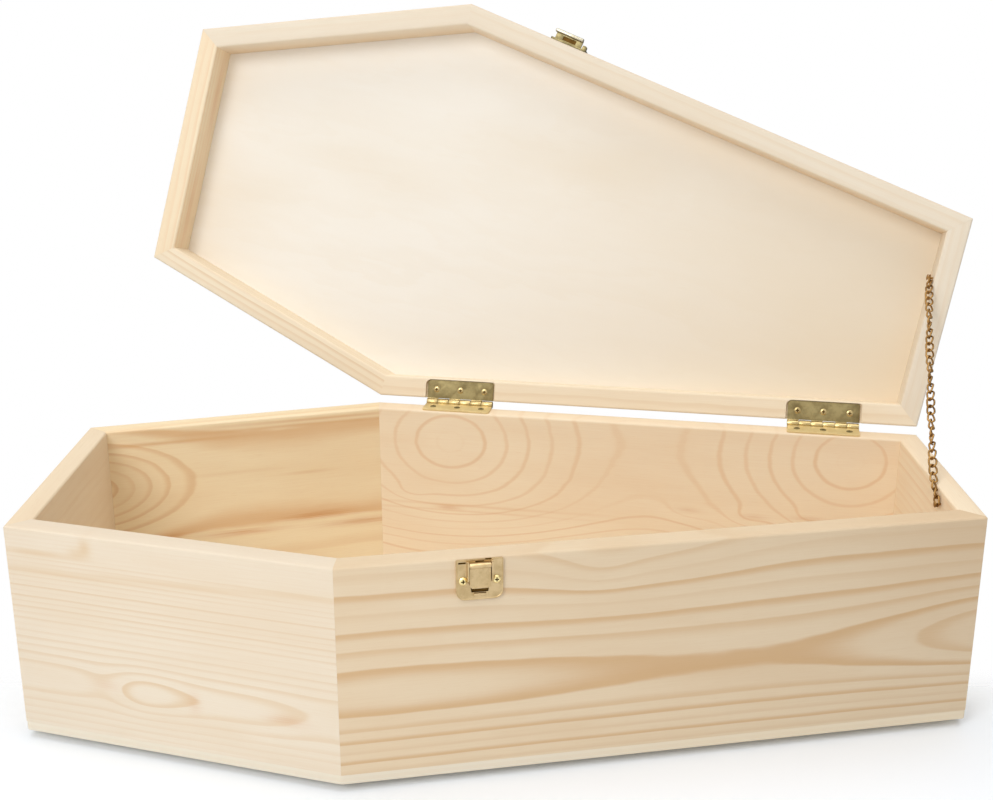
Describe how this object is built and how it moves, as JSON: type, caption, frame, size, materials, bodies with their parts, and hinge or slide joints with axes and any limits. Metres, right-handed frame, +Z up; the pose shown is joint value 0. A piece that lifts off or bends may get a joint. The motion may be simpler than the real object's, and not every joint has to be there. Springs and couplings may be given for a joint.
{
  "type": "coffin-shaped keepsake box",
  "caption": "Small coffin-shaped box in bare pine with a hinged, chain-stayed lid standing open, a pressed brass lever catch on the front and an empty interior.",
  "frame": {"origin": "middle of the underside, which rests on the table", "axes": "+X from the head end to the foot end, -Y out of the front with the catch, +Z up"},
  "size_m": [0.4279, 0.2925, 0.2893],
  "materials": {
    "pine": "planed and sanded pine, unfinished",
    "plywood": "pale smooth plywood, unfinished",
    "brass": "pressed brass-plated steel, satin",
    "bronze": "dark bronzed wire"
  },
  "bodies": {
    "box": {"wall_head_front": "pine", "wall_side_front": "pine", "wall_foot": "pine", "wall_side_back": "pine", "wall_head_back": "pine", "wall_head": "pine", "base_panel": "plywood", "hinge_left_box_leaf": "brass", "hinge_right_box_leaf": "brass", "hinge_left_pin": "brass", "hinge_right_pin": "brass", "hinge_left_box_screw_1": "brass", "hinge_left_box_screw_2": "brass", "hinge_left_box_screw_3": "brass", "hinge_right_box_screw_1": "brass", "hinge_right_box_screw_2": "brass", "hinge_right_box_screw_3": "brass", "catch_plate": "brass", "catch_pin": "brass", "catch_screw_1": "brass", "catch_screw_2": "brass", "lid_chain": "bronze", "chain_nail_box": "bronze"},
    "lid": {"lid_rail_head_front": "pine", "lid_rail_side_front": "pine", "lid_rail_foot": "pine", "lid_rail_side_back": "pine", "lid_rail_head_back": "pine", "lid_rail_head": "pine", "lid_panel": "plywood", "hinge_left_lid_leaf": "brass", "hinge_right_lid_leaf": "brass", "hinge_left_lid_screw_1": "brass", "hinge_left_lid_screw_2": "brass", "hinge_left_lid_screw_3": "brass", "hinge_right_lid_screw_1": "brass", "hinge_right_lid_screw_2": "brass", "hinge_right_lid_screw_3": "brass", "keeper": "brass", "keeper_screw_1": "brass", "keeper_screw_2": "brass", "chain_nail_lid": "bronze"},
    "lever": {"catch_lever": "brass"}
  },
  "joints": [
    {"name": "lid_hinge", "type": "hinge", "parent": "box", "child": "lid", "pos_m": [-0.06164, 0.10337, 0.09477], "axis": [0.9819, -0.1893, 0], "range_deg": [0, 104.8], "deforming": ["lid_chain"]},
    {"name": "catch_pivot", "type": "hinge", "parent": "box", "child": "lever", "pos_m": [-0.00678, -0.09315, 0.0911], "axis": [-0.9819, -0.1893, 0], "range_deg": [0, 100]}
  ]
}
